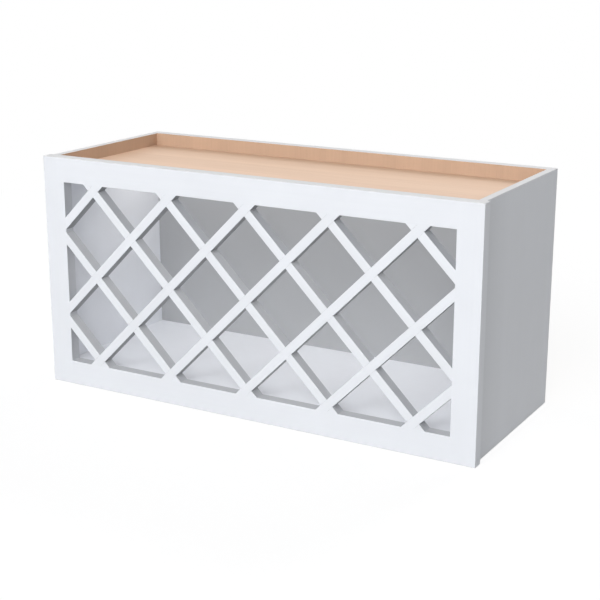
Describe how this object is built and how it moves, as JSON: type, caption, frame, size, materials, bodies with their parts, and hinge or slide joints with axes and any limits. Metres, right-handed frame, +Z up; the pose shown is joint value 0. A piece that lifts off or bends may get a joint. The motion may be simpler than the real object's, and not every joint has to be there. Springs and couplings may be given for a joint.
{
  "type": "wall wine rack",
  "caption": "White painted wall cabinet with an open diagonal lattice front set flush in a plain face frame, holding wine bottles on their sides.",
  "frame": {"origin": "on the wall plane, at the middle of the cabinet's lower edge", "axes": "+X to the right seen from the front, +Y into the wall, +Z up; the lattice faces -Y"},
  "size_m": [0.762, 0.3048, 0.381],
  "materials": {
    "white_paint": "white satin paint on solid wood",
    "white_plywood": "white satin paint on plywood, bare maple above the top panel",
    "maple_plywood": "clear sealed maple veneer plywood, white paint inside the cabinet",
    "dowel_wood": "bare beech",
    "zinc_steel": "bright zinc plate"
  },
  "bodies": {
    "root": {"left_stile": "white_paint", "right_stile": "white_paint", "top_rail": "white_paint", "bottom_rail": "white_paint", "rising_slat_1": "white_paint", "rising_slat_2": "white_paint", "rising_slat_3": "white_paint", "rising_slat_4": "white_paint", "rising_slat_5": "white_paint", "rising_slat_6": "white_paint", "rising_slat_7": "white_paint", "falling_slat_1": "white_paint", "falling_slat_2": "white_paint", "falling_slat_3": "white_paint", "falling_slat_4": "white_paint", "falling_slat_5": "white_paint", "falling_slat_6": "white_paint", "falling_slat_7": "white_paint", "left_side_panel": "white_plywood", "right_side_panel": "white_plywood", "bottom_panel": "white_plywood", "top_panel": "maple_plywood", "back_panel": "maple_plywood", "upper_hanging_rail": "maple_plywood", "lower_hanging_rail": "maple_plywood", "frame_dowels": "dowel_wood", "frame_pocket_screws": "zinc_steel", "hanging_rail_screws": "zinc_steel", "case_brads": "zinc_steel"}
  },
  "joints": []
}
